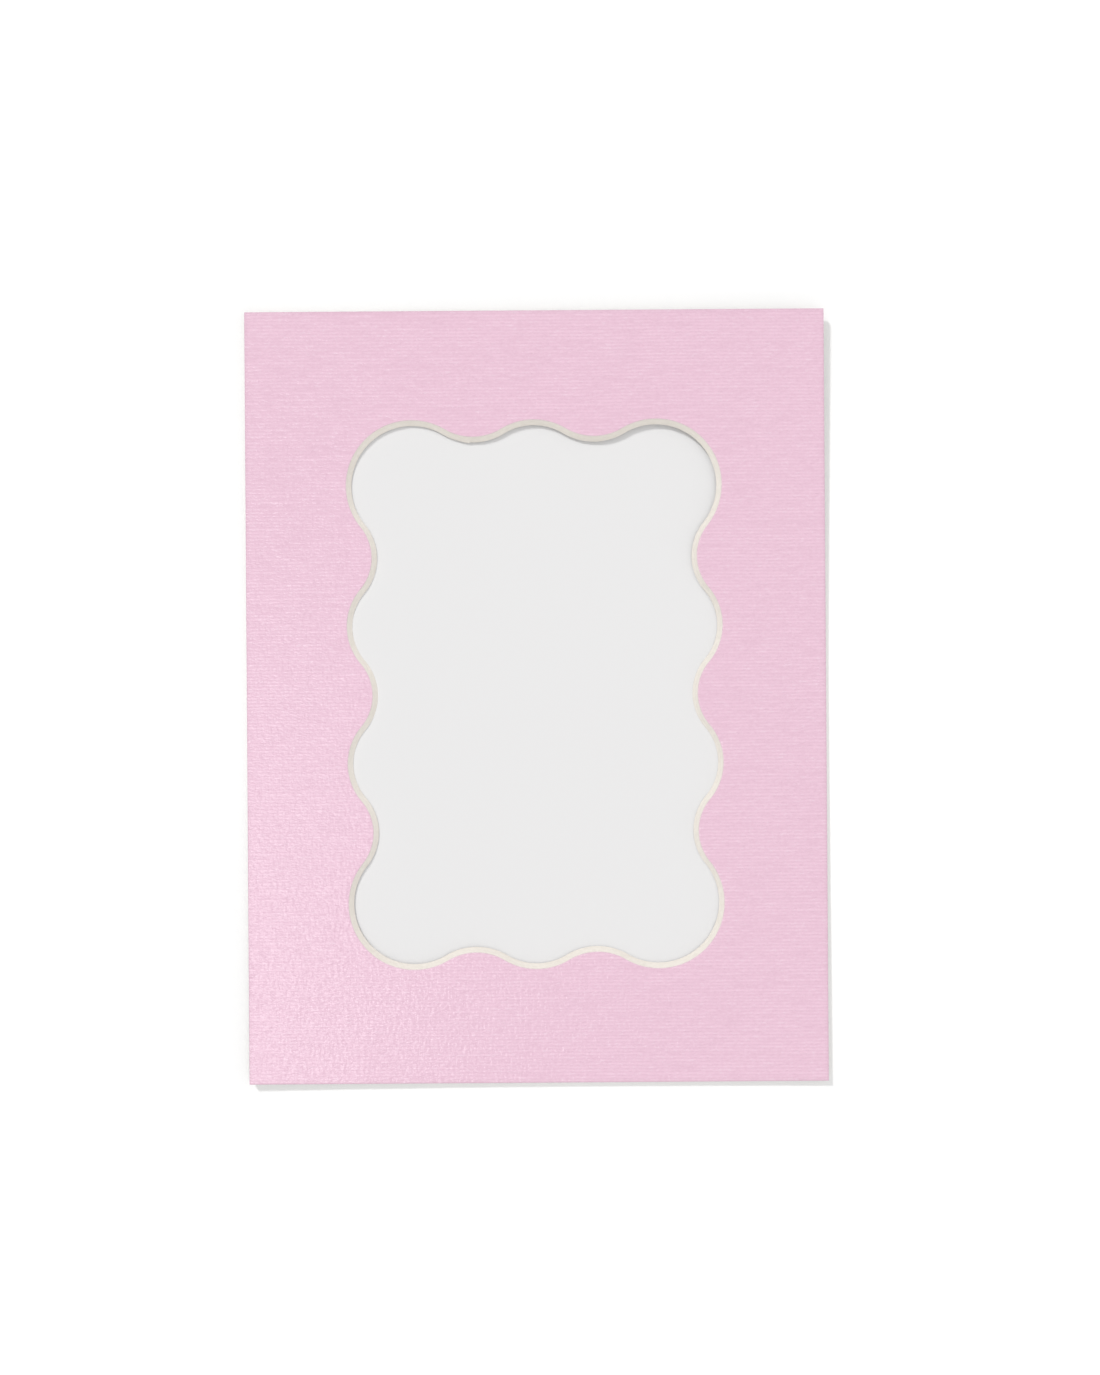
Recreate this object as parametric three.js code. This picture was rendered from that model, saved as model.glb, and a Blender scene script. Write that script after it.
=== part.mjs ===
// A picture mount: one sheet of mount board, lying face up, with a scalloped window.
// Units are millimetres. X runs across the sheet, Y up it, and Z through its thickness.
// The origin is at the middle of the sheet, on the face that it lies on.
import * as THREE from "three";

// The sheet: a coloured facing paper glued all over a cream core
const SHEET_WIDTH = 180;
const SHEET_HEIGHT = 240;
const CORE_THICKNESS = 1.4;
const FACING_THICKNESS = 0.2;

// The window, measured on the coloured face between the crests of opposite lobes
const WINDOW_WIDTH = 117;
const WINDOW_HEIGHT = 171;
const WINDOW_RIGHT_OF_CENTRE = -0.4;
const WINDOW_ABOVE_CENTRE = 0.7;

// The scallops: a lobe at each corner, and between the corners swells of the board with lobes between them
const CORNER_LOBE_RADIUS = 20.5;
const SIDE_LOBE_RADIUS = 18;
const SIDE_SWELL_RADIUS = 15;
const END_LOBE_RADIUS = 19.5;
const END_SWELL_RADIUS = 17;
const LOBE_PITCH = 43;

// The cut edge of the window: its angle to the face, 90 for a square cut
const BEVEL_ANGLE_DEG = 45;

// The turn from one point of an arc to the next
const ARC_STEP_DEG = 3;

const FACING_COLOUR = 0xecc9da;
const FACING_ROUGHNESS = 0.7;
const CORE_COLOUR = 0xf1ebe2;
const CORE_ROUGHNESS = 0.95;

const SHEET_THICKNESS = CORE_THICKNESS + FACING_THICKNESS;

// One row of scallops along each side of the window, from corner lobe to corner lobe
const END_ROW = {
  span: WINDOW_WIDTH - 2 * CORNER_LOBE_RADIUS,
  crest: WINDOW_HEIGHT / 2,
  lobeRadius: END_LOBE_RADIUS,
  swellRadius: END_SWELL_RADIUS,
};
const SIDE_ROW = {
  span: WINDOW_HEIGHT - 2 * CORNER_LOBE_RADIUS,
  crest: WINDOW_WIDTH / 2,
  lobeRadius: SIDE_LOBE_RADIUS,
  swellRadius: SIDE_SWELL_RADIUS,
};

// How far apart a lobe and the swell that touches it stand along their row, centre to centre
function circleStep(lobeRadius, swellRadius, swellDepth) {
  const centres = lobeRadius + swellRadius;
  return Math.sqrt(centres ** 2 - (centres - swellDepth) ** 2);
}

// How far a row reaches between its corner centres, where its swells stand this deep into the window
function rowReach(row, lobes, swellDepth) {
  const cornerStep = circleStep(CORNER_LOBE_RADIUS, row.swellRadius, swellDepth);
  const lobeStep = circleStep(row.lobeRadius, row.swellRadius, swellDepth);
  return 2 * cornerStep + 2 * lobes * lobeStep;
}

function deepestSwell(row) {
  return row.swellRadius + Math.min(row.lobeRadius, CORNER_LOBE_RADIUS);
}

// The lobes between two corners: what the pitch asks for, and no fewer than can reach across
function lobesInRow(row) {
  let lobes = Math.max(0, Math.round(row.span / LOBE_PITCH) - 1);
  while (rowReach(row, lobes, deepestSwell(row)) < row.span) {
    lobes += 1;
  }
  return lobes;
}

// The depth of the swells at which the touching circles just fill the row, found by halving
function swellDepthOf(row, lobes) {
  let tooShallow = 0;
  let deepEnough = deepestSwell(row);
  for (let i = 0; i < 50; i += 1) {
    const middle = (tooShallow + deepEnough) / 2;
    if (rowReach(row, lobes, middle) < row.span) {
      tooShallow = middle;
    } else {
      deepEnough = middle;
    }
  }
  return deepEnough;
}

// The circles of the row on the right-hand side, upwards from its lower corner.
// The edge of the window runs round the outer side of a lobe and the inner side of a swell.
function circlesOfRow(row) {
  const lobes = lobesInRow(row);
  const depth = swellDepthOf(row, lobes);
  const cornerStep = circleStep(CORNER_LOBE_RADIUS, row.swellRadius, depth);
  const lobeStep = circleStep(row.lobeRadius, row.swellRadius, depth);
  const firstSwell = cornerStep - row.span / 2;
  const lobe = (radius, y) => ({
    centre: new THREE.Vector2(row.crest - radius, y),
    radius,
    isLobe: true,
  });
  const swell = (y) => ({
    centre: new THREE.Vector2(row.crest - depth + row.swellRadius, y),
    radius: row.swellRadius,
    isLobe: false,
  });
  const circles = [lobe(CORNER_LOBE_RADIUS, -row.span / 2), swell(firstSwell)];
  for (let i = 0; i < lobes; i += 1) {
    circles.push(lobe(row.lobeRadius, firstSwell + (2 * i + 1) * lobeStep));
    circles.push(swell(firstSwell + (2 * i + 2) * lobeStep));
  }
  return circles;
}

// The circles of the whole window, anticlockwise from its lower right corner
function windowCircles() {
  const windowCentre = new THREE.Vector2(WINDOW_RIGHT_OF_CENTRE, WINDOW_ABOVE_CENTRE);
  const middle = new THREE.Vector2(0, 0);
  return [SIDE_ROW, END_ROW, SIDE_ROW, END_ROW].flatMap((row, quarterTurns) =>
    circlesOfRow(row).map((circle) => {
      circle.centre.rotateAround(middle, (quarterTurns * Math.PI) / 2);
      circle.centre.add(windowCentre);
      return circle;
    }),
  );
}

function angleTowards(from, to) {
  return to.centre.clone().sub(from.centre).angle();
}

// The outline of the window at one level, where the cut has come this far in from the edge of the face.
// Every arc runs between the points where its circle touches its neighbours, and keeps its centre
// at every level, so outlines at different levels are parallel and have the same number of points.
function windowOutline(inset) {
  const fullTurn = 2 * Math.PI;
  const circles = windowCircles();
  return circles.flatMap((circle, i) => {
    const before = circles.at(i - 1);
    const after = circles[(i + 1) % circles.length];
    const start = angleTowards(circle, before);
    const anticlockwise = (angleTowards(circle, after) - start + fullTurn) % fullTurn;
    const sweep = circle.isLobe ? anticlockwise : anticlockwise - fullTurn;
    const steps = Math.ceil(Math.abs(THREE.MathUtils.radToDeg(sweep)) / ARC_STEP_DEG);
    const radius = circle.isLobe ? circle.radius - inset : circle.radius + inset;
    return Array.from({ length: steps }, (_, step) => {
      const angle = start + (sweep * step) / steps;
      return new THREE.Vector2(Math.cos(angle), Math.sin(angle)).multiplyScalar(radius).add(circle.centre);
    });
  });
}

function sheetOutline() {
  const x = SHEET_WIDTH / 2;
  const y = SHEET_HEIGHT / 2;
  return [
    new THREE.Vector2(-x, -y),
    new THREE.Vector2(x, -y),
    new THREE.Vector2(x, y),
    new THREE.Vector2(-x, y),
  ];
}

// The walls that join a loop of points at one level to the same loop at the next, as pairs of triangles
function wallTriangles(firstLow, firstHigh, count) {
  const triangles = [];
  for (let i = 0; i < count; i += 1) {
    const next = (i + 1) % count;
    triangles.push(firstLow + i, firstLow + next, firstHigh + next);
    triangles.push(firstLow + i, firstHigh + next, firstHigh + i);
  }
  return triangles;
}

// One layer of the board between two heights: square at the outside, bevelled at the window
function layerGeometry(lowHeight, highHeight) {
  const bevelRun = 1 / Math.tan(THREE.MathUtils.degToRad(BEVEL_ANGLE_DEG));
  const outside = sheetOutline();
  const levels = [lowHeight, highHeight].map((height) => ({
    height,
    window: windowOutline((SHEET_THICKNESS - height) * bevelRun),
  }));
  const windowCount = levels[0].window.length;
  const levelCount = outside.length + windowCount;
  const positions = levels.flatMap(({ height, window }) =>
    [...outside, ...window].flatMap((point) => [point.x, point.y, height]),
  );
  const faces = levels.map(({ window }, level) =>
    THREE.ShapeUtils.triangulateShape(outside, [window]).map((triangle) =>
      triangle.map((corner) => corner + level * levelCount),
    ),
  );
  const under = faces[0].flatMap(([a, b, c]) => [c, b, a]);
  const top = faces[1].flat();
  const outerWalls = wallTriangles(0, levelCount, outside.length);
  const windowWalls = wallTriangles(outside.length, levelCount + outside.length, windowCount).reverse();
  const geometry = new THREE.BufferGeometry();
  geometry.setAttribute("position", new THREE.Float32BufferAttribute(positions, 3));
  geometry.setIndex([...under, ...top, ...outerWalls, ...windowWalls]);
  geometry.computeVertexNormals();
  return geometry;
}

function layer(name, lowHeight, highHeight, color, roughness) {
  const material = new THREE.MeshStandardMaterial({ color, roughness, metalness: 0, flatShading: true });
  const mesh = new THREE.Mesh(layerGeometry(lowHeight, highHeight), material);
  mesh.name = name;
  return mesh;
}

const mount = new THREE.Group();
mount.add(layer("core_board", 0, CORE_THICKNESS, CORE_COLOUR, CORE_ROUGHNESS));
mount.add(layer("facing_paper", CORE_THICKNESS, SHEET_THICKNESS, FACING_COLOUR, FACING_ROUGHNESS));

export default mount;
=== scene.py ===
import math
from collections import defaultdict

import bmesh
import bpy
import numpy as np
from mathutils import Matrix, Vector
from mathutils.geometry import tessellate_polygon


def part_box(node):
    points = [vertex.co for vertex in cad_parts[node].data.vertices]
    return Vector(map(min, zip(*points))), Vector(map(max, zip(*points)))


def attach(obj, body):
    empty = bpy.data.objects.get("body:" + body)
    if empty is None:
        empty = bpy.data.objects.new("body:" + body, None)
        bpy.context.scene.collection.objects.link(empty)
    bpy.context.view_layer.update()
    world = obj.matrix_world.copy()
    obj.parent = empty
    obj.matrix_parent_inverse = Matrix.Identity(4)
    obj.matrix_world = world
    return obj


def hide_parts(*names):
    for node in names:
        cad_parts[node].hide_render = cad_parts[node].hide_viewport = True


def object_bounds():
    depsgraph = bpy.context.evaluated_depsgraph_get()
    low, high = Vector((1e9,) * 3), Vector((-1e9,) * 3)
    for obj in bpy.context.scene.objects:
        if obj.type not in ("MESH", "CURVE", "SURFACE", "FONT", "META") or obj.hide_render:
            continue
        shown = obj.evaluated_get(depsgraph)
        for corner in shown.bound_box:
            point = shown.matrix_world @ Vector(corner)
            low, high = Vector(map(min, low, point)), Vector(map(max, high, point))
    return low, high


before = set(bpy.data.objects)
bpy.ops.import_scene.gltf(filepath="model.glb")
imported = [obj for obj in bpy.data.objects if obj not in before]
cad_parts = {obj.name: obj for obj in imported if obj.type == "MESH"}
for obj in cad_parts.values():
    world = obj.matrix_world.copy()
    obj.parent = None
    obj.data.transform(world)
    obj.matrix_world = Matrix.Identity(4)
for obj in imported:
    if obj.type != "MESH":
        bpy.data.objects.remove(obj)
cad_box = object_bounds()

MM = 0.001

# The photograph's size in pixels, and the sheet's middle, width and turn in it
PHOTO_WIDTH = 1100
PHOTO_HEIGHT = 1375
SHEET_CENTRE_PX = (536.5, 696.5)
SHEET_WIDTH_PX = 579.5
SHEET_TURN_DEG = 0.4
CAMERA_HEIGHT = 400 * MM

# The linen grain pressed into the facing: threads across the sheet, four rows of the mesh to a thread
THREAD_PITCH = 1.03 * MM
ROWS_PER_THREAD = 4
COLUMN_PITCH = 1.15 * MM
GRAIN_DEPTH = 0.1 * MM
EDGE_ROUNDING = 0.07 * MM
ROUNDED_STRIP = 0.35 * MM
# How far in from the sheet's outer edge the painted shade on the facing reaches
EDGE_SHADE_WIDTH = 1.2 * MM

# How far in from a cut side the outer columns of the mesh stand, and where their even spacing begins
SIDE_COLUMNS = (0.0, 0.12 * MM, 0.3 * MM)
EVEN_COLUMNS_INSET = 0.6 * MM

# How far the threads stray from straight lines, over which length, and in how many bands up the sheet
GRAIN_WANDER = 0.14 * MM
WANDER_LENGTH = 22 * MM
WANDER_BANDS = 24

# The height of a thread's crest as a share of the grain, and how slubs of two lengths change it
CREST_MEAN = 0.62
SLUBS = ((7 * MM, 0.30), (2.6 * MM, 0.42))
LEAST_CREST = 0.05

# How often the place where a mesh edge meets the window is halved
HALVINGS = 16

# The cut core: the fibre that the blade leaves standing, and the small step where its cut begins and ends
CUT_ROUGHNESS = 0.012 * MM
FIBRE_LENGTH = 1.2 * MM
CUT_LENGTH = 500 * MM
BEVEL_LEVELS = 8
CUT_STEP_X = -20.2 * MM
CUT_STEP_LENGTH = 3.5 * MM
CUT_STEP_HEIGHT = 0.28 * MM

# The least angle between two faces that shows as a sharp edge
SHARP_DEG = 35

# The table, and how far below the sheet it lies at the left, the middle and the right of each end, and
# halfway up the right side. The gap starts gently, over about this share of the way from middle to end.
TABLE_COLOUR = (0.84, 0.835, 0.835)
TOP_GAPS = (0.4 * MM, 1.3 * MM, 2.8 * MM)
BOTTOM_GAPS = (1.6 * MM, 0.5 * MM, 0.9 * MM)
RIGHT_GAP = 0.1 * MM
GAP_EASE = 0.2

# The floor's mesh: how far it reaches, in metres, and its finer part, out to this multiple of the sheet
FLOOR_REACH = 3.0
FLOOR_COLUMNS = 34
FLOOR_ROWS = 45
FLOOR_MARGIN = 1.1

# How far under the sheet's edge the floor's white begins
WHITE_OVERLAP = 2 * MM

# How much the white floor outside the sheet shines, near its edge and far from it: distance and strength
SHINE_NEAR = (6 * MM, 0.02)
SHINE_FAR = (40 * MM, 0.4)

# Light that gives a flat white surface its own colour: fill from all round and a soft key add up to one
FILL_LEVEL = 0.72
FILL_SLOPE = (0.27, -0.27, 0)
KEY_LEVEL = 0.28
KEY_TOWARDS = (-0.75, 1.0, 1.0)
KEY_ANGLE_DEG = 6

# A large lamp that shows only as a sheen on the threads, mostly at the lower left, with its power in watts
GLOW_PLACE = (-0.5, -0.4, 1.2)
GLOW_SIZE = 0.65
GLOW_POWER = 5.2

rng = np.random.default_rng(18)

core_low, core_high = (np.array(corner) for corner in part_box("core_board"))
face_low, face_high = (np.array(corner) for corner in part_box("facing_paper"))


# Outlines of the window, read from the frame

def window_outline(node, height):
    """The corners of a node's window at one height, in order round it, as an N x 2 array."""
    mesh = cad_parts[node].data
    points = np.array([tuple(vertex.co) for vertex in mesh.vertices])
    at_height = np.abs(points[:, 2] - height) < 1e-6
    on_outside = (np.abs(np.abs(points[:, 0]) - face_high[0]) < 1e-6) | (
        np.abs(np.abs(points[:, 1]) - face_high[1]) < 1e-6
    )
    keys = [tuple(np.round(point[:2] / 1e-7).astype(int)) for point in points]
    place = {}
    linked = defaultdict(set)
    for polygon in mesh.polygons:
        if any(on_outside[i] for i in polygon.vertices):
            continue
        rim = [i for i in polygon.vertices if at_height[i]]
        if len(rim) != 2:
            continue
        first, second = keys[rim[0]], keys[rim[1]]
        place[first], place[second] = points[rim[0], :2], points[rim[1], :2]
        linked[first].add(second)
        linked[second].add(first)
    start = min(place)
    order = [start]
    before, here = None, start
    while True:
        step = next(key for key in linked[here] if key != before)
        if step == start:
            break
        order.append(step)
        before, here = here, step
    loop = np.array([place[key] for key in order])
    return loop if signed_area(loop) > 0 else loop[::-1]


def signed_area(loop):
    after = np.roll(loop, -1, axis=0)
    return 0.5 * np.sum(loop[:, 0] * after[:, 1] - after[:, 0] * loop[:, 1])


def rounded(loop):
    """The same closed loop with a point added amid each side, on a smooth curve through the corners."""
    before, after = np.roll(loop, 1, axis=0), np.roll(loop, -1, axis=0)
    beyond = np.roll(loop, -2, axis=0)
    middle = (9 * (loop + after) - before - beyond) / 16
    return np.stack([loop, middle], axis=1).reshape(-1, 2)


def outward(loop):
    """At each corner of a loop that runs anticlockwise, the unit vector that points out of the window."""
    along = np.roll(loop, -1, axis=0) - np.roll(loop, 1, axis=0)
    along /= np.linalg.norm(along, axis=1)[:, None]
    return np.stack([along[:, 1], -along[:, 0]], axis=1)


def in_window(points, loop):
    """Whether each point lies inside the loop, by counting the sides that it would cross going right."""
    inside = np.zeros(len(points), bool)
    x, y = points[:, 0], points[:, 1]
    low, high = loop.min(axis=0), loop.max(axis=0)
    near = np.flatnonzero((x > low[0]) & (x < high[0]) & (y > low[1]) & (y < high[1]))
    x, y = x[near], y[near]
    count = np.zeros(len(near), int)
    for a, b in zip(loop, np.roll(loop, -1, axis=0)):
        spans = (a[1] > y) != (b[1] > y)
        if spans.any():
            at = a[0] + (y[spans] - a[1]) * (b[0] - a[0]) / (b[1] - a[1])
            count[np.flatnonzero(spans)[at > x[spans]]] += 1
    inside[near] = count % 2 == 1
    return inside


# Smooth random lines and fields, always the same for one seed

def smooth_noise(count, rows, knot_gap, length):
    """Count samples along each of so many rows, from -1 to 1, changing over about knot_gap of the length."""
    knots = max(4, int(length / knot_gap) + 3)
    values = rng.uniform(-1, 1, (rows, knots))
    at = np.linspace(0, knots - 1.001, count)
    left = at.astype(int)
    share = at - left
    ease = share * share * (3 - 2 * share)
    return values[:, left] * (1 - ease) + values[:, left + 1] * ease


# Meshes

def mesh_object(name, points, faces, materials, face_materials=None):
    mesh = bpy.data.meshes.new(name)
    mesh.from_pydata([tuple(point) for point in points], [], faces)
    for material in materials:
        mesh.materials.append(material)
    if face_materials is not None:
        mesh.polygons.foreach_set("material_index", np.asarray(face_materials, dtype=np.int32))
    mesh.polygons.foreach_set("use_smooth", np.ones(len(mesh.polygons), dtype=bool))
    built = bmesh.new()
    built.from_mesh(mesh)
    bmesh.ops.recalc_face_normals(built, faces=built.faces)
    for edge in built.edges:
        if len(edge.link_faces) == 2 and edge.calc_face_angle() > math.radians(SHARP_DEG):
            edge.smooth = False
    built.to_mesh(mesh)
    built.free()
    mesh.update()
    made = bpy.data.objects.new(name, mesh)
    bpy.context.scene.collection.objects.link(made)
    return made


def wall_faces(upper, lower):
    """Quads between two closed loops of point numbers, one for each side of the loops."""
    faces = []
    for k in range(len(upper)):
        after = (k + 1) % len(upper)
        faces.append((upper[k], upper[after], lower[after], lower[k]))
    return faces


def cap_faces(points, outer, inner):
    """Triangles that fill between an outer loop and an inner loop of point numbers."""
    numbers = list(outer) + list(inner)
    loops = [[Vector(points[i]) for i in outer], [Vector(points[i]) for i in inner]]
    return [tuple(numbers[i] for i in triangle) for triangle in tessellate_polygon(loops)]


# The facing paper

def column_places():
    """Where the mesh's columns stand across the sheet, closer together at its cut sides."""
    half = face_high[0]
    inner = half - EVEN_COLUMNS_INSET
    middle = np.linspace(-inner, inner, int(2 * inner / COLUMN_PITCH))
    side = half - np.array(SIDE_COLUMNS)
    return np.concatenate([-side, middle, side[::-1]])


def grain_field():
    """Places of the grid's points and the depth of the grain at each, as rows x columns."""
    half_height = face_high[1]
    threads = round(2 * half_height / THREAD_PITCH)
    rows = threads * ROWS_PER_THREAD + 1
    x = column_places()
    columns = len(x)
    flat_y = np.linspace(-half_height, half_height, rows)
    width = 2 * face_high[0]
    wander_knots = smooth_noise(columns, WANDER_BANDS, WANDER_LENGTH, width)
    row_at = np.linspace(0, WANDER_BANDS - 1.001, rows)
    low = row_at.astype(int)
    share = (row_at - low)[:, None]
    wander = wander_knots[low] * (1 - share) + wander_knots[low + 1] * share
    still = np.clip((half_height - np.abs(flat_y)) / (3 * THREAD_PITCH), 0, 1)[:, None]
    y = flat_y[:, None] + GRAIN_WANDER * wander * still
    phase = np.cos(2 * np.pi * (np.arange(rows) % ROWS_PER_THREAD - 2) / ROWS_PER_THREAD)
    height = CREST_MEAN
    for length, share_of_height in SLUBS:
        height = height + share_of_height * smooth_noise(columns, threads + 1, length, width)
    height = np.clip(height, LEAST_CREST, 1)
    thread_of_row = np.minimum(np.arange(rows) // ROWS_PER_THREAD, threads)
    crest = height[thread_of_row] * (0.5 + 0.5 * phase)[:, None]
    grid_x = np.broadcast_to(x, (rows, columns))
    return grid_x, y, crest


def facing_mesh():
    grid_x, grid_y, crest = grain_field()
    rows, columns = grid_x.shape
    outline = rounded(window_outline("facing_paper", face_high[2]))
    flat = np.stack([grid_x.ravel(), grid_y.ravel()], axis=1)
    cut_away = in_window(flat, outline).reshape(rows, columns)
    edge_gap = np.minimum(face_high[0] - np.abs(grid_x), face_high[1] - np.abs(grid_y))
    drop = EDGE_ROUNDING * np.clip(1 - edge_gap / ROUNDED_STRIP, 0, 1) ** 2
    height = face_high[2] - GRAIN_DEPTH * (1 - crest) - drop

    number = np.full((rows, columns), -1)
    number[~cut_away] = np.arange(np.count_nonzero(~cut_away))
    points = np.stack([grid_x[~cut_away], grid_y[~cut_away], height[~cut_away]], axis=1).tolist()

    crossing = {}

    def cross_edges(first, second, keys):
        """Puts a point where each edge from board to window meets the outline, found by halving."""
        a = np.stack([grid_x[first], grid_y[first], height[first]], axis=1)
        b = np.stack([grid_x[second], grid_y[second], height[second]], axis=1)
        start_cut = cut_away[first]
        low, high = np.zeros(len(a)), np.ones(len(a))
        for _ in range(HALVINGS):
            middle = (low + high) / 2
            at = a + (b - a) * middle[:, None]
            same = in_window(at[:, :2], outline) == start_cut
            low = np.where(same, middle, low)
            high = np.where(same, high, middle)
        for key, point in zip(keys, a + (b - a) * high[:, None]):
            crossing[key] = len(points)
            points.append(point.tolist())

    j, i = np.nonzero(cut_away[:, :-1] != cut_away[:, 1:])
    cross_edges((j, i), (j, i + 1), [("row", p, q) for p, q in zip(j, i)])
    j, i = np.nonzero(cut_away[:-1] != cut_away[1:])
    cross_edges((j, i), (j + 1, i), [("column", p, q) for p, q in zip(j, i)])

    corners_cut = (
        cut_away[:-1, :-1].astype(int) + cut_away[:-1, 1:] + cut_away[1:, 1:] + cut_away[1:, :-1]
    )
    j, i = np.nonzero(corners_cut == 0)
    faces = np.stack(
        [number[j, i], number[j, i + 1], number[j + 1, i + 1], number[j + 1, i]], axis=1
    ).tolist()
    next_on_rim = {}
    for j, i in zip(*np.nonzero((corners_cut > 0) & (corners_cut < 4))):
        corners = [(j, i), (j, i + 1), (j + 1, i + 1), (j + 1, i)]
        edges = [("row", j, i), ("column", j, i + 1), ("row", j + 1, i), ("column", j, i)]
        face = []
        for corner, edge in zip(corners, edges):
            if not cut_away[corner]:
                face.append(int(number[corner]))
            if edge in crossing:
                face.append(crossing[edge])
        rim = [p for p in face if p >= len(points) - len(crossing)]
        for p, q in zip(face, face[1:] + face[:1]):
            if p in rim and q in rim and len(rim) == 2:
                next_on_rim[p] = q
        faces.append(face)
    start = next(iter(next_on_rim))
    rim = [start]
    while next_on_rim[rim[-1]] != start:
        rim.append(next_on_rim[rim[-1]])
    return points, faces, rim, number, outline


def loop_inset(points, rim, outline, depth):
    """The points of the rim moved into the window by depth, square to the smooth outline."""
    away = outward(outline)
    at = np.array([points[i][:2] for i in rim])
    nearest = np.array([np.argmin(np.sum((outline - p) ** 2, axis=1)) for p in at])
    return at - away[nearest] * depth


def make_facing(materials):
    points, faces, rim, number, outline = facing_mesh()
    top_count = len(faces)
    thickness = face_high[2] - face_low[2]
    if signed_area(np.array([points[i][:2] for i in rim])) < 0:
        rim = rim[::-1]
    rings = [rim]
    for share in (0.45, 1.0):
        flat = loop_inset(points, rim, outline, thickness * share)
        rings.append(list(range(len(points), len(points) + len(rim))))
        points += [[x, y, face_high[2] - thickness * share] for x, y in flat]
    for upper, lower in zip(rings, rings[1:]):
        faces += wall_faces(upper, lower)
    sides = (number[0, :-1], number[:-1, -1], number[-1, :0:-1], number[:0:-1, 0])
    border = np.concatenate(sides).tolist()
    under = list(range(len(points), len(points) + len(border)))
    points += [[points[i][0], points[i][1], face_low[2]] for i in border]
    faces += wall_faces(border, under)
    wall_count = len(faces)
    faces += cap_faces(points, under, rings[-1])
    face_materials = np.zeros(len(faces), int)
    face_materials[top_count:wall_count] = 1
    return mesh_object("linen_facing", points, faces, materials, face_materials)


# The core board

def cut_step(ring):
    """How far each point of a ring stands out into the window where the blade went in and came out again."""
    behind = (CUT_STEP_X - ring[:, 0]) / CUT_STEP_LENGTH
    return CUT_STEP_HEIGHT * np.clip(1 - behind, 0, 1) * ((behind > 0) & (ring[:, 1] > 0))


def make_core(materials):
    top = rounded(rounded(window_outline("core_board", core_high[2])))
    bottom = rounded(rounded(window_outline("core_board", core_low[2])))
    count = len(top)
    fibre = smooth_noise(count, BEVEL_LEVELS + 1, FIBRE_LENGTH, CUT_LENGTH)
    points = []
    faces = []
    rings = []
    for level in range(BEVEL_LEVELS + 1):
        share = level / BEVEL_LEVELS
        ring = top + (bottom - top) * share
        ring[:, 1] -= cut_step(ring) * share
        if 0 < level < BEVEL_LEVELS:
            ring += outward(ring) * (CUT_ROUGHNESS * fibre[level])[:, None]
        z = core_high[2] + (core_low[2] - core_high[2]) * share
        rings.append(range(len(points), len(points) + count))
        points += [[x, y, z] for x, y in ring]
    for upper, lower in zip(rings, rings[1:]):
        faces += wall_faces(upper, lower)
    half_x, half_y = core_high[0], core_high[1]
    square = [(-half_x, -half_y), (half_x, -half_y), (half_x, half_y), (-half_x, half_y)]
    outer = []
    for z in (core_high[2], core_low[2]):
        outer.append(range(len(points), len(points) + len(square)))
        points += [[x, y, z] for x, y in square]
    faces += wall_faces(outer[0], outer[1])
    for ring, border in ((rings[0], outer[0]), (rings[-1], outer[1])):
        faces += cap_faces(points, border, ring)
    return mesh_object("core_with_bevel", points, faces, materials)


# Materials

def new_material(name):
    material = bpy.data.materials.new(name)
    material.use_nodes = True
    nodes = material.node_tree.nodes
    return material, nodes, material.node_tree.links, nodes["Principled BSDF"]


def noise(nodes, links, source, scale, detail, roughness):
    made = nodes.new("ShaderNodeTexNoise")
    made.inputs["Scale"].default_value = scale
    made.inputs["Detail"].default_value = detail
    made.inputs["Roughness"].default_value = roughness
    links.new(source, made.inputs["Vector"])
    return made.outputs["Fac"]


def stretched(nodes, links, source, scale):
    made = nodes.new("ShaderNodeMapping")
    made.inputs["Scale"].default_value = scale
    links.new(source, made.inputs["Vector"])
    return made.outputs["Vector"]


def math_node(nodes, links, operation, *values):
    made = nodes.new("ShaderNodeMath")
    made.operation = operation
    for socket, value in zip(made.inputs, values):
        if isinstance(value, (int, float)):
            socket.default_value = value
        else:
            links.new(value, socket)
    return made.outputs["Value"]


def ramp(nodes, links, source, stops):
    made = nodes.new("ShaderNodeValToRGB")
    while len(made.color_ramp.elements) < len(stops):
        made.color_ramp.elements.new(0.5)
    for element, (place, colour) in zip(made.color_ramp.elements, stops):
        element.position = place
        element.color = (*colour, 1)
    links.new(source, made.inputs["Fac"])
    return made.outputs["Color"]


def multiplied(nodes, links, first, second):
    made = nodes.new("ShaderNodeMix")
    made.data_type = "RGBA"
    made.blend_type = "MULTIPLY"
    made.inputs["Factor"].default_value = 1.0
    links.new(first, made.inputs["A"])
    links.new(second, made.inputs["B"])
    return made.outputs["Result"]


def bump(nodes, links, height, strength, distance, normal=None):
    made = nodes.new("ShaderNodeBump")
    made.inputs["Strength"].default_value = strength
    made.inputs["Distance"].default_value = distance
    links.new(height, made.inputs["Height"])
    if normal is not None:
        links.new(normal, made.inputs["Normal"])
    return made.outputs["Normal"]


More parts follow.
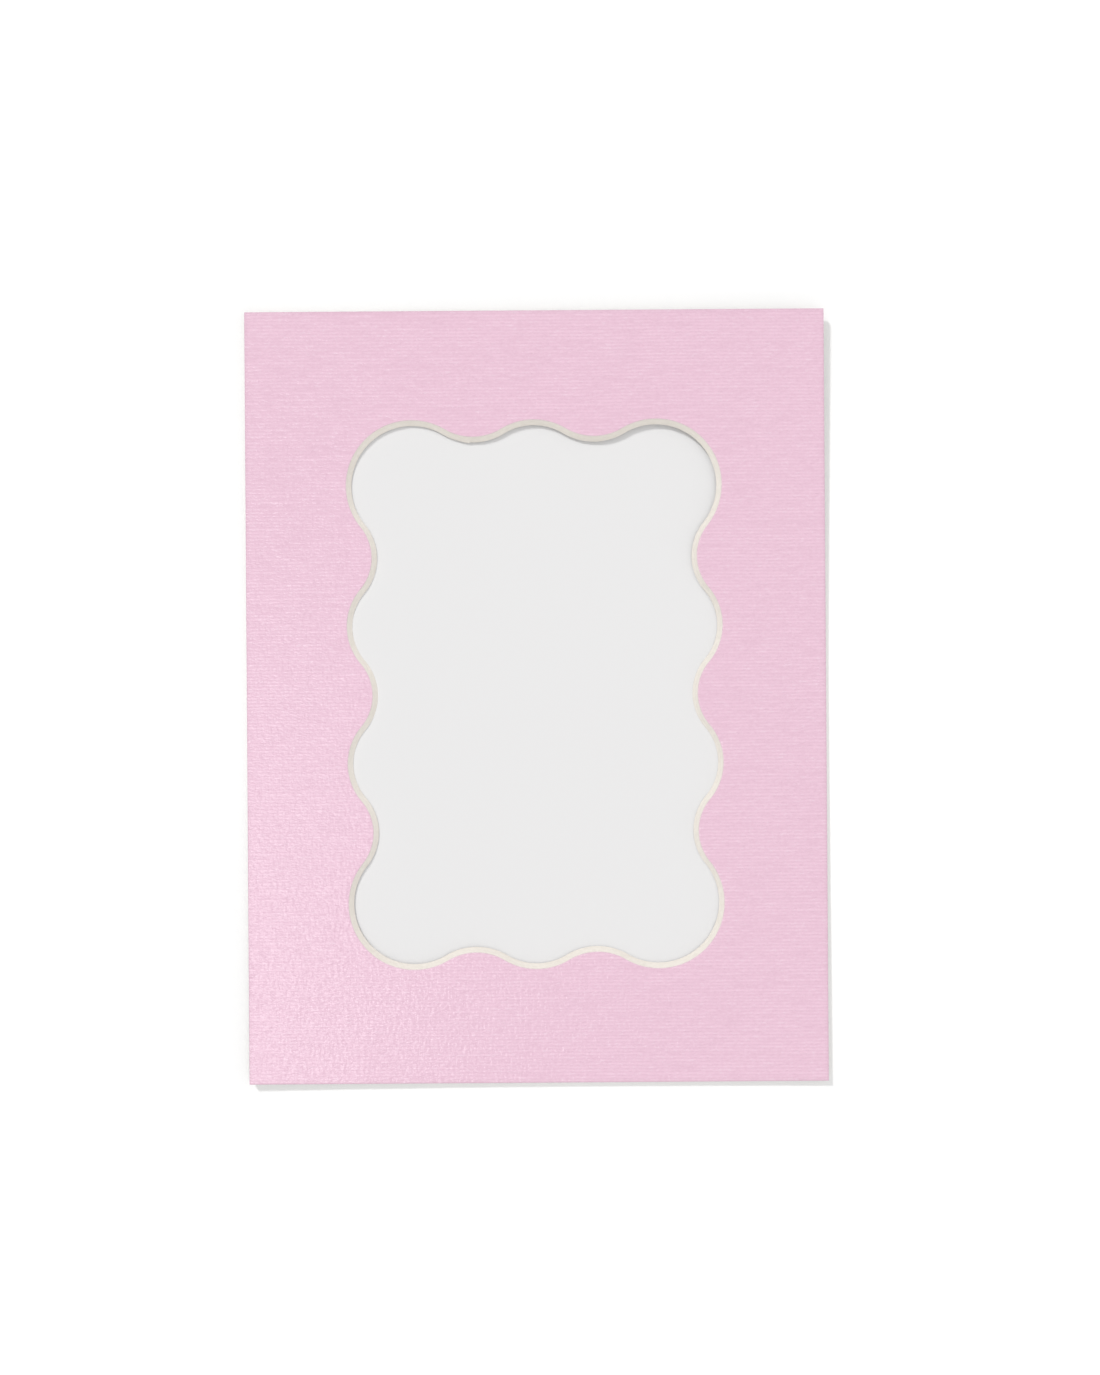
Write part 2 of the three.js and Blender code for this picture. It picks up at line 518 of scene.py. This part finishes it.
def facing_material():
    """Satin pink paper: painted highlights as pale dashes on the crests, painted shade as deeper pink
    between threads and as a greyer rim along the outer edge.
    """
    material, nodes, links, shader = new_material("linen_paper")
    place = nodes.new("ShaderNodeTexCoord").outputs["Object"]
    parts = nodes.new("ShaderNodeSeparateXYZ")
    links.new(place, parts.inputs["Vector"])
    depth = math_node(nodes, links, "SUBTRACT", face_high[2], parts.outputs["Z"])
    sunk = math_node(nodes, links, "DIVIDE", depth, GRAIN_DEPTH)
    fibres = noise(nodes, links, stretched(nodes, links, place, (900, 2600, 900)), 1.0, 3, 0.6)
    raised = math_node(nodes, links, "SUBTRACT", fibres, math_node(nodes, links, "MULTIPLY", sunk, 0.1))
    # Fibre tone that differs at random, up to the top stop, which is a painted highlight: pale glints on the
    # thread crests
    fibre_tones_and_glints = [(0.22, (0.861, 0.574, 0.706)), (0.50, (0.892, 0.605, 0.735)), (0.64, (0.905, 0.66, 0.778))]
    colour = ramp(nodes, links, raised, fibre_tones_and_glints)
    # Painted shade: the facing grows greyer towards its outer edge
    rim = ramp(
        nodes,
        links,
        math_node(nodes, links, "DIVIDE", past_sheet(nodes, links), -EDGE_SHADE_WIDTH),
        [(0.0, (0.90, 0.90, 0.90)), (0.45, (0.965, 0.965, 0.965)), (1.0, (1, 1, 1))],
    )
    # Painted shade in the hollows of the grain: deeper pink where the grain is sunk, and in knots of random
    # tone
    knots = noise(nodes, links, stretched(nodes, links, place, (850, 1000, 1)), 1.0, 1, 0.5)
    hollow = math_node(nodes, links, "ADD", sunk, knots)
    hollow_shade = ramp(
        nodes,
        links,
        math_node(nodes, links, "MULTIPLY", hollow, 0.6),
        [(0.3, (1, 1, 1)), (0.65, (0.965, 0.96, 0.965)), (1.0, (0.92, 0.90, 0.91))],
    )
    # The painted shade of the rim and of the hollows, laid over the paper's colour
    edge_and_hollow_shade = multiplied(nodes, links, rim, hollow_shade)
    links.new(multiplied(nodes, links, colour, edge_and_hollow_shade), shader.inputs["Base Color"])
    shader.inputs["Roughness"].default_value = 0.26
    dashes = noise(nodes, links, stretched(nodes, links, place, (800, 2000, 1)), 1.0, 1, 0.5)
    weave = noise(nodes, links, stretched(nodes, links, place, (1000, 350, 1)), 1.0, 1, 0.5)
    woven = bump(nodes, links, weave, 1.0, 0.00012)
    links.new(bump(nodes, links, dashes, 1.0, 0.00016, woven), shader.inputs["Normal"])
    return material


def cut_paper_material():
    material, nodes, links, shader = new_material("cut_paper_edge")
    place = nodes.new("ShaderNodeTexCoord").outputs["Object"]
    fibres = noise(nodes, links, stretched(nodes, links, place, (1500, 1500, 1500)), 1.0, 2, 0.5)
    colour = ramp(nodes, links, fibres, [(0.3, (0.74, 0.58, 0.62)), (0.7, (0.82, 0.68, 0.71))])
    links.new(colour, shader.inputs["Base Color"])
    shader.inputs["Roughness"].default_value = 0.8
    return material


def core_material():
    """Cream pulp board: short fibres, faint plies through its thickness, and a slow mottle over its back."""
    material, nodes, links, shader = new_material("cream_core")
    place = nodes.new("ShaderNodeTexCoord").outputs["Object"]
    pulp = noise(nodes, links, stretched(nodes, links, place, (700, 700, 2500)), 1.0, 3, 0.6)
    colour = ramp(nodes, links, pulp, [(0.3, (0.842, 0.793, 0.725)), (0.7, (0.905, 0.855, 0.787))])
    plies = noise(nodes, links, stretched(nodes, links, place, (12, 12, 5500)), 1.0, 1, 0.5)
    layers = ramp(nodes, links, plies, [(0.35, (0.965, 0.96, 0.95)), (0.6, (1, 1, 1))])
    cloud = noise(nodes, links, place, 60.0, 3, 0.6)
    mottle = ramp(nodes, links, cloud, [(0.35, (0.97, 0.965, 0.96)), (0.65, (1, 1, 1))])
    shading = multiplied(nodes, links, layers, mottle)
    links.new(multiplied(nodes, links, colour, shading), shader.inputs["Base Color"])
    shader.inputs["Roughness"].default_value = 0.9
    links.new(bump(nodes, links, pulp, 0.5, 0.00004), shader.inputs["Normal"])
    return material


# The stage

def seen_directly(nodes, links):
    """1 for rays from the camera, a mirror or glass, and 0 for the light that the surface throws back."""
    path = nodes.new("ShaderNodeLightPath")
    either = math_node(nodes, links, "MAXIMUM", path.outputs["Is Camera Ray"], path.outputs["Is Glossy Ray"])
    return math_node(nodes, links, "MAXIMUM", either, path.outputs["Is Transmission Ray"])


def past_sheet(nodes, links):
    """How far a point lies outside the sheet's edges, in metres, and negative within them."""
    place = nodes.new("ShaderNodeTexCoord").outputs["Object"]
    parts = nodes.new("ShaderNodeSeparateXYZ")
    links.new(place, parts.inputs["Vector"])
    gaps = []
    for axis, half in (("X", face_high[0]), ("Y", face_high[1])):
        size = math_node(nodes, links, "ABSOLUTE", parts.outputs[axis])
        gaps.append(math_node(nodes, links, "SUBTRACT", size, half))
    return math_node(nodes, links, "MAXIMUM", *gaps)


def floor_material():
    """A pale table inside the window, and plain white outside the sheet, where it still takes a shadow."""
    material, nodes, links, shader = new_material("floor")
    seen = seen_directly(nodes, links)
    gap = past_sheet(nodes, links)
    outside = math_node(nodes, links, "GREATER_THAN", gap, -WHITE_OVERLAP)
    white = math_node(nodes, links, "MULTIPLY", seen, outside)
    mix = nodes.new("ShaderNodeMix")
    mix.data_type = "RGBA"
    mix.inputs["A"].default_value = (*TABLE_COLOUR, 1)
    mix.inputs["B"].default_value = (1, 1, 1, 1)
    links.new(white, mix.inputs["Factor"])
    links.new(mix.outputs["Result"], shader.inputs["Base Color"])
    shader.inputs["Roughness"].default_value = 1.0
    shader.inputs["Specular IOR Level"].default_value = 0.0
    shader.inputs["Emission Color"].default_value = (1, 1, 1, 1)
    far = nodes.new("ShaderNodeMapRange")
    for end, (distance, strength) in (("Min", SHINE_NEAR), ("Max", SHINE_FAR)):
        far.inputs["From " + end].default_value = distance
        far.inputs["To " + end].default_value = strength
    links.new(gap, far.inputs["Value"])
    shine = math_node(nodes, links, "MULTIPLY", white, far.outputs["Result"])
    links.new(shine, shader.inputs["Emission Strength"])
    return material


def table_gap(x, y):
    """How far the table lies below a place on the sheet, whose ends stand a little off it."""
    across = np.clip(x / face_high[0], -FLOOR_MARGIN, FLOOR_MARGIN)
    along = np.clip(y / face_high[1], -FLOOR_MARGIN, FLOOR_MARGIN)
    weights = (across * (across - 1) / 2, 1 - across**2, across * (across + 1) / 2)
    top, bottom = (sum(w * gap for w, gap in zip(weights, gaps)) for gaps in (TOP_GAPS, BOTTOM_GAPS))
    rise = (np.hypot(along, GAP_EASE) - GAP_EASE) / (math.hypot(1, GAP_EASE) - GAP_EASE)
    middle = RIGHT_GAP * np.clip(across, 0, None) ** 2
    return middle * (1 - rise.clip(0, 1)) + np.where(along > 0, top, bottom) * rise


def make_floor():
    near_x = np.linspace(-FLOOR_MARGIN, FLOOR_MARGIN, FLOOR_COLUMNS) * face_high[0]
    near_y = np.linspace(-FLOOR_MARGIN, FLOOR_MARGIN, FLOOR_ROWS) * face_high[1]
    x = np.concatenate([[-FLOOR_REACH], near_x, [FLOOR_REACH]])
    y = np.concatenate([[-FLOOR_REACH], near_y, [FLOOR_REACH]])
    grid_x, grid_y = np.meshgrid(x, y)
    points = np.stack([grid_x, grid_y, -table_gap(grid_x, grid_y)], axis=2).reshape(-1, 3)
    count = len(x)
    faces = []
    for row in range(len(y) - 1):
        for i in range(row * count, row * count + count - 1):
            faces.append((i, i + 1, i + 1 + count, i + count))
    mesh_object("floor", points, faces, [floor_material()])


def make_lights():
    """A white surround that is brighter at the lower right, a soft key from the upper left, and the glow."""
    world = bpy.data.worlds.new("world")
    bpy.context.scene.world = world
    world.use_nodes = True
    nodes, links = world.node_tree.nodes, world.node_tree.links
    background = nodes["Background"]
    background.inputs["Color"].default_value = (1, 1, 1, 1)
    slope = nodes.new("ShaderNodeVectorMath")
    slope.operation = "DOT_PRODUCT"
    links.new(nodes.new("ShaderNodeTexCoord").outputs["Generated"], slope.inputs[0])
    slope.inputs[1].default_value = FILL_SLOPE
    level = nodes.new("ShaderNodeMapRange")
    links.new(math_node(nodes, links, "ADD", slope.outputs["Value"], FILL_LEVEL), level.inputs["To Min"])
    level.inputs["To Max"].default_value = 1.0
    links.new(seen_directly(nodes, links), level.inputs["Value"])
    links.new(level.outputs["Result"], background.inputs["Strength"])

    towards = Vector(KEY_TOWARDS)
    sun = bpy.data.lights.new("key", "SUN")
    sun.energy = math.pi * KEY_LEVEL / towards.normalized().z
    sun.angle = math.radians(KEY_ANGLE_DEG)
    key = bpy.data.objects.new("key", sun)
    key.rotation_mode = "QUATERNION"
    key.rotation_quaternion = towards.to_track_quat("Z", "Y")
    key.visible_glossy = False
    bpy.context.scene.collection.objects.link(key)

    place = Vector(GLOW_PLACE)
    disk = bpy.data.lights.new("glow", "AREA")
    disk.shape = "DISK"
    disk.size = GLOW_SIZE
    disk.energy = GLOW_POWER
    glow = bpy.data.objects.new("glow", disk)
    glow.location = place
    glow.rotation_mode = "QUATERNION"
    glow.rotation_quaternion = place.to_track_quat("Z", "Y")
    glow.visible_diffuse = False
    bpy.context.scene.collection.objects.link(glow)


def make_camera():
    scale = (cad_box[1][0] - cad_box[0][0]) / SHEET_WIDTH_PX
    turn = math.radians(SHEET_TURN_DEG)
    right = (PHOTO_WIDTH / 2 - SHEET_CENTRE_PX[0]) * scale
    up = (SHEET_CENTRE_PX[1] - PHOTO_HEIGHT / 2) * scale
    data = bpy.data.cameras.new("camera")
    data.sensor_width = 36
    data.lens = data.sensor_width * CAMERA_HEIGHT / (PHOTO_HEIGHT * scale)
    camera = bpy.data.objects.new("camera", data)
    face = face_high[2]
    camera.location = (
        right * math.cos(turn) + up * math.sin(turn),
        up * math.cos(turn) - right * math.sin(turn),
        face + CAMERA_HEIGHT,
    )
    camera.rotation_euler = (0, 0, -turn)
    bpy.context.scene.collection.objects.link(camera)
    bpy.context.scene.camera = camera


make_camera()
make_lights()
make_floor()
bpy.context.scene.view_settings.view_transform = "Standard"

facing = make_facing([facing_material(), cut_paper_material()])
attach(facing, "root")
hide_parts("facing_paper")

core = make_core([core_material()])
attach(core, "root")
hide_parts("core_board")
